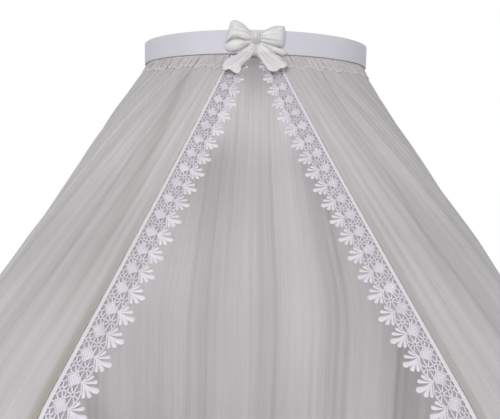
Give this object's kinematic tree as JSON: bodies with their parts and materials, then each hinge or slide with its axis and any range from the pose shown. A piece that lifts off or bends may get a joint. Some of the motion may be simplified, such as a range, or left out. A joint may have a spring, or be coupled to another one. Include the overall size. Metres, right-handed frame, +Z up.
{
  "type": "bed crown canopy",
  "caption": "Wall-mounted half-oval bed crown with a cast bow and a bell-shaped tulle canopy, open at the front and edged with lace.",
  "frame": {"origin": "middle of the back rail's wall face, midway between the two hangers", "axes": "+Z up, front towards -Y, wall face towards +Y, +X to the right seen from the front"},
  "size_m": [1.2516, 0.7995, 1.5048],
  "materials": {
    "white_paint": "satin white paint",
    "board": "raw plywood",
    "rail": "planed pine",
    "cast_resin": "matte white",
    "tulle": "fine soft net",
    "lace": "guipure lace",
    "binding": "woven satin binding",
    "tape": "hook-and-loop tape",
    "steel": "zinc plated"
  },
  "bodies": {
    "root": {"crown_fascia": "white_paint", "crown_board": "board", "back_rail": "rail", "glue_block_1": "rail", "glue_block_2": "rail", "glue_block_3": "rail", "glue_block_4": "rail", "keyhole_plate_left": "steel", "keyhole_plate_right": "steel", "plate_screw_1": "steel", "plate_screw_2": "steel", "plate_screw_3": "steel", "plate_screw_4": "steel", "rail_screw_1": "steel", "rail_screw_2": "steel", "rail_screw_3": "steel", "rail_screw_4": "steel", "bow_screw_1": "steel", "bow_screw_2": "steel", "hook_tape_front": "tape", "hook_tape_back": "tape", "heading_tape_left": "tape", "heading_tape_right": "tape", "heading_tape_back": "tape", "bow_casting": "cast_resin", "tulle_left": "tulle", "tulle_right": "tulle", "tulle_back": "tulle", "heading_frill_left": "tulle", "heading_frill_right": "tulle", "binding_left": "binding", "binding_right": "binding", "lace_trim_left": "lace", "lace_trim_right": "lace"}
  },
  "joints": []
}
